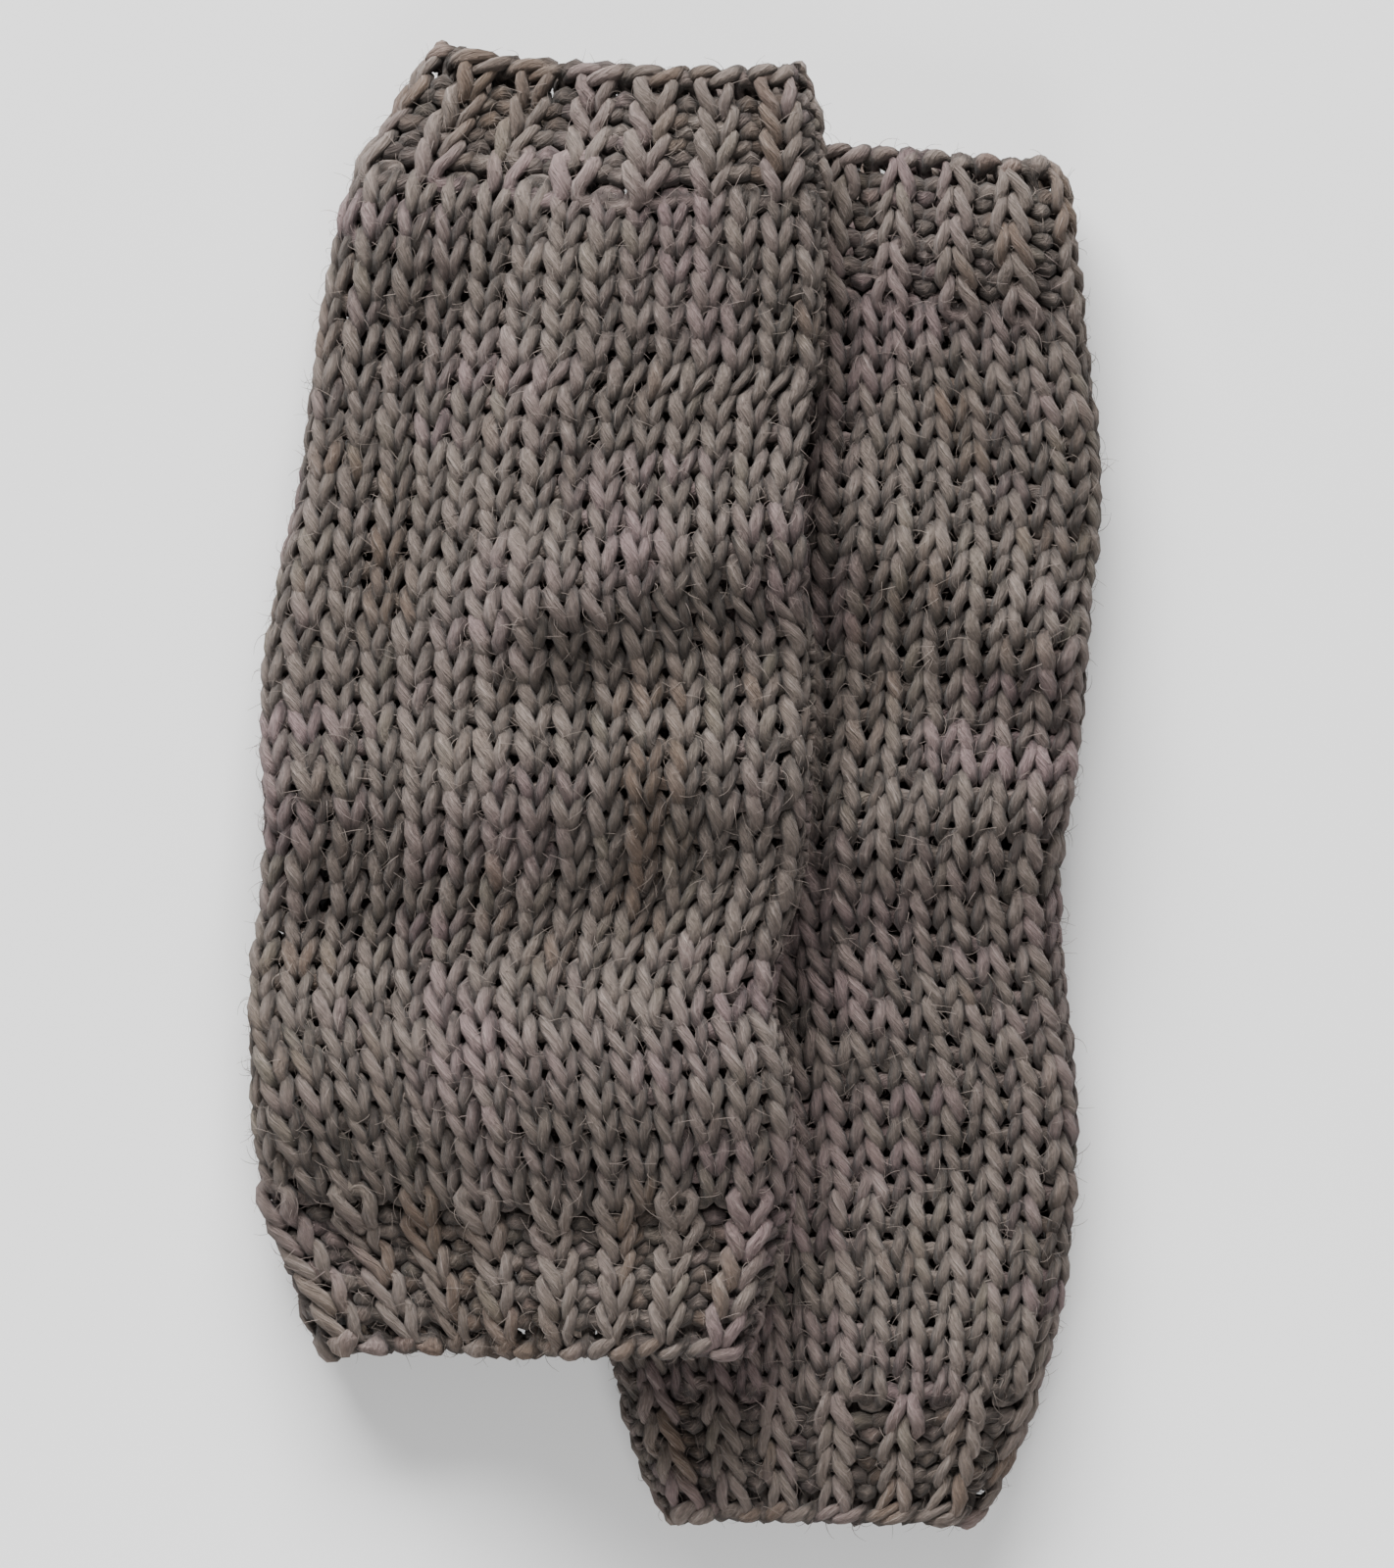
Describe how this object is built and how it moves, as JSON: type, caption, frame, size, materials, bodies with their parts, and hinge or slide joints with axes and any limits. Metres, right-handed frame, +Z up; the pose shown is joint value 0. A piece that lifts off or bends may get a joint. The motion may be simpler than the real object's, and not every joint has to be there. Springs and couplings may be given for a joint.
{
  "type": "fingerless gloves",
  "caption": "Pair of hand-knitted tube-shaped fingerless gloves in thick yarn, plain knit with ribbed ends, laid flat head to tail, one half over the other.",
  "frame": {"origin": "centre of the pair's footprint, on the surface it lies on", "axes": "+Z up from the surface, +Y along the gloves towards the upper glove's finger end, +X from the upper glove towards the lower glove"},
  "size_m": [0.1401, 0.242, 0.038],
  "materials": {
    "taupe_knit": "soft variegated wool, plain knit",
    "taupe_rib": "soft variegated wool, one by one rib",
    "taupe_chain_edge": "soft variegated wool, chain edge",
    "taupe_seam_yarn": "soft variegated wool, sewing yarn"
  },
  "bodies": {
    "lower_glove": {"lower_glove_bind_off_edge": "taupe_chain_edge", "lower_glove_finger_rib": "taupe_rib", "lower_glove_body": "taupe_knit", "lower_glove_arm_rib": "taupe_rib", "lower_glove_cast_on_edge": "taupe_chain_edge", "lower_glove_finger_seam": "taupe_seam_yarn", "lower_glove_arm_seam": "taupe_seam_yarn", "lower_glove_bind_off_tail": "taupe_seam_yarn", "lower_glove_cast_on_tail": "taupe_seam_yarn"},
    "upper_glove": {"upper_glove_bind_off_edge": "taupe_chain_edge", "upper_glove_finger_rib": "taupe_rib", "upper_glove_body": "taupe_knit", "upper_glove_arm_rib": "taupe_rib", "upper_glove_cast_on_edge": "taupe_chain_edge", "upper_glove_finger_seam": "taupe_seam_yarn", "upper_glove_arm_seam": "taupe_seam_yarn", "upper_glove_bind_off_tail": "taupe_seam_yarn", "upper_glove_cast_on_tail": "taupe_seam_yarn"}
  },
  "joints": [
    {"name": "upper_glove_lift", "type": "slide", "parent": "lower_glove", "child": "upper_glove", "axis": [0, 0, 1], "range_m": [0, 0.15]}
  ]
}
